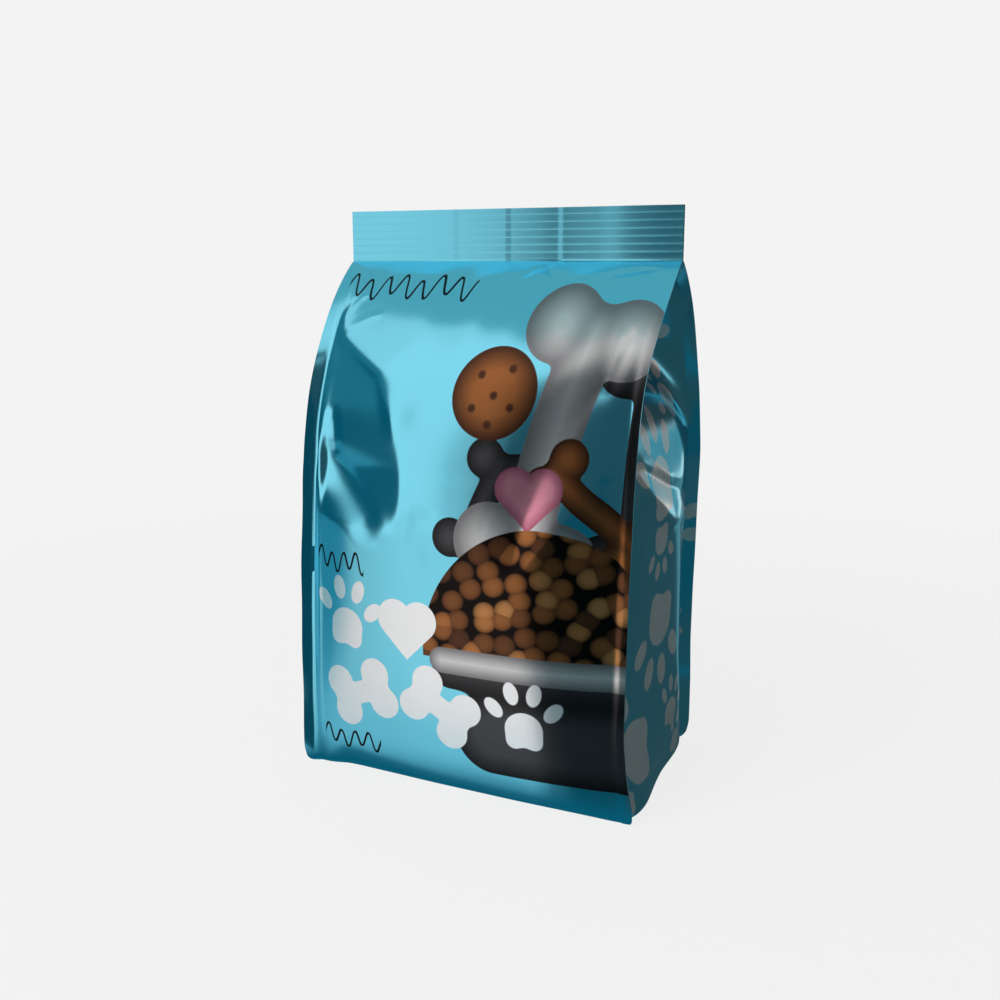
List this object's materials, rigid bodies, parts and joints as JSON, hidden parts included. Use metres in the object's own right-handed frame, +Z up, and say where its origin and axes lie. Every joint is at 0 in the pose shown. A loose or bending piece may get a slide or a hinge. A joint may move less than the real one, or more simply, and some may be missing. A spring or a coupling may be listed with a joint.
{
  "type": "stand-up pet food pouch",
  "caption": "Filled side-gusset film pouch that stands on a flat base, with corner fin seals and a ribbed top seal.",
  "frame": {"origin": "middle of the bounding box's foot, on the surface that the pouch stands on", "axes": "+Z up, -Y out of the front panel, +X to the right as seen from the front"},
  "size_m": [0.18, 0.1382, 0.2835],
  "materials": {
    "printed_film": "metallised laminate film, satin, teal, with printed fields of colour"
  },
  "bodies": {
    "root": {"pouch": "printed_film"}
  },
  "joints": []
}
